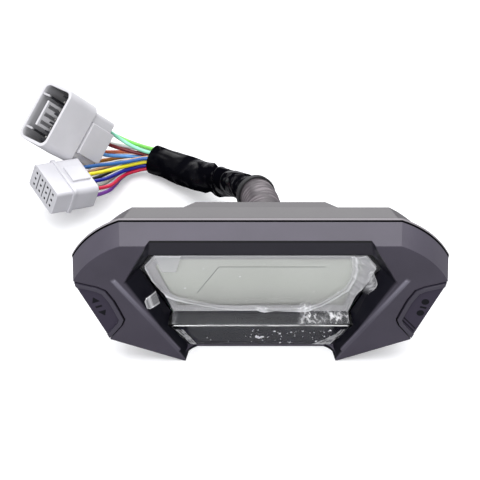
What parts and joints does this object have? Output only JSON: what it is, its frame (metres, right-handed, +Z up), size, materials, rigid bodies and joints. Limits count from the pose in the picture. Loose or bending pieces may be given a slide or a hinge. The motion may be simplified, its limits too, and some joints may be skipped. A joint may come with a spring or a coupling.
{
  "type": "motorcycle instrument cluster",
  "caption": "Wide wedge-shaped digital instrument cluster with a recessed display, two sprung corner buttons, rear mounting posts and a short wiring harness ending in two grey connectors.",
  "frame": {"origin": "middle of the base of the cluster without its harness, on the surface it stands on; the cluster is stored upside down, standing on its long flat edge, as shown", "axes": "+X along the display to the right seen from the face, +Y from the face to the back, +Z up"},
  "size_m": [0.2, 0.1508, 0.0705],
  "materials": {
    "black_frame": "printed black mask",
    "black_rubber": "black rubber",
    "board_laminate": "green solder mask on glass-fibre board",
    "brass_insert": "turned brass",
    "button_plastic": "satin moulded, dark grey",
    "chip_plastic": "black moulded chip",
    "connector_grey": "light grey nylon connector",
    "connector_white": "white nylon insert",
    "display_glass": "reflective grey-green display glass",
    "film_plastic": "thin clear protective film",
    "front_shell": "fine moulded texture, dark grey",
    "grey_rubber": "grey rubber boot",
    "header_plastic": "natural nylon header",
    "led_plastic": "white and amber diode package",
    "lens_plastic": "clear polycarbonate",
    "pvc_amber": "thin-wall PVC wire insulation",
    "pvc_black": "thin-wall PVC wire insulation",
    "pvc_blue": "thin-wall PVC wire insulation",
    "pvc_grey": "thin-wall PVC wire insulation",
    "pvc_light_green": "thin-wall PVC wire insulation",
    "pvc_maroon": "thin-wall PVC wire insulation",
    "pvc_mint": "thin-wall PVC wire insulation",
    "pvc_navy": "thin-wall PVC wire insulation",
    "pvc_red": "thin-wall PVC wire insulation",
    "pvc_salmon": "thin-wall PVC wire insulation",
    "pvc_sky_blue": "thin-wall PVC wire insulation",
    "pvc_tan": "thin-wall PVC wire insulation",
    "pvc_teal": "thin-wall PVC wire insulation",
    "pvc_violet": "thin-wall PVC wire insulation",
    "pvc_white": "thin-wall PVC wire insulation",
    "pvc_yellow": "thin-wall PVC wire insulation",
    "rear_shell": "fine moulded texture, dark grey",
    "seal_grey": "grey silicone wire seal",
    "sleeve_vinyl": "glossy black vinyl tube",
    "steel_screw": "zinc-plated steel",
    "tin_terminal": "tin-plated terminal",
    "white_plastic": "white light guide plastic"
  },
  "bodies": {
    "housing": {"backlight_leds": "led_plastic", "board_screws": "steel_screw", "boot_tie": "black_rubber", "button_seal_left": "black_rubber", "button_seal_right": "black_rubber", "cable_boot": "grey_rubber", "capacitors": "tin_terminal", "case_screws": "steel_screw", "circuit_board": "board_laminate", "controller_chip": "chip_plastic", "display_mask": "black_frame", "driver_chips": "chip_plastic", "front_cover": "front_shell", "harness_header": "header_plastic", "harness_sleeve": "sleeve_vinyl", "housing_seal": "black_rubber", "indicator_leds": "led_plastic", "indicator_light_box": "white_plastic", "indicator_mask": "black_frame", "lcd_panel": "display_glass", "lens": "lens_plastic", "light_guide": "white_plastic", "mount_dampers": "black_rubber", "mount_inserts": "brass_insert", "plug_housing": "connector_grey", "plug_pins": "tin_terminal", "plug_retainer": "connector_white", "plug_wire_seal": "seal_grey", "protective_film": "film_plastic", "rear_case": "rear_shell", "socket_face": "connector_white", "socket_housing": "connector_grey", "socket_terminals": "tin_terminal", "socket_wire_seal": "seal_grey", "switch_bodies": "chip_plastic", "vent_plug": "black_rubber", "wire_amber": "pvc_amber", "wire_black": "pvc_black", "wire_blue": "pvc_blue", "wire_grey": "pvc_grey", "wire_light_green": "pvc_light_green", "wire_maroon": "pvc_maroon", "wire_mint": "pvc_mint", "wire_navy": "pvc_navy", "wire_red": "pvc_red", "wire_salmon": "pvc_salmon", "wire_sky_blue": "pvc_sky_blue", "wire_tan": "pvc_tan", "wire_teal": "pvc_teal", "wire_violet": "pvc_violet", "wire_white": "pvc_white", "wire_yellow": "pvc_yellow", "zebra_strips": "grey_rubber"},
    "button_left": {"button_left": "button_plastic"},
    "button_right": {"button_right": "button_plastic"},
    "switch_plunger_left": {"switch_plunger_left": "black_frame"},
    "switch_plunger_right": {"switch_plunger_right": "black_frame"}
  },
  "joints": [
    {"name": "button_left_press", "type": "slide", "parent": "housing", "child": "button_left", "axis": [0, 1, 0], "range_m": [0, 0.0006], "stiffness_N_per_m": 3500, "springref_m": -0.0002},
    {"name": "switch_left_press", "type": "slide", "parent": "housing", "child": "switch_plunger_left", "axis": [0, 1, 0], "range_m": [0, 0.0003]},
    {"name": "button_right_press", "type": "slide", "parent": "housing", "child": "button_right", "axis": [0, 1, 0], "range_m": [0, 0.0006], "stiffness_N_per_m": 3500, "springref_m": -0.0002},
    {"name": "switch_right_press", "type": "slide", "parent": "housing", "child": "switch_plunger_right", "axis": [0, 1, 0], "range_m": [0, 0.0003]}
  ],
  "couplings": [
    {"joint": "switch_left_press", "follows": "button_left_press", "ratio": 0.5},
    {"joint": "switch_right_press", "follows": "button_right_press", "ratio": 0.5}
  ]
}
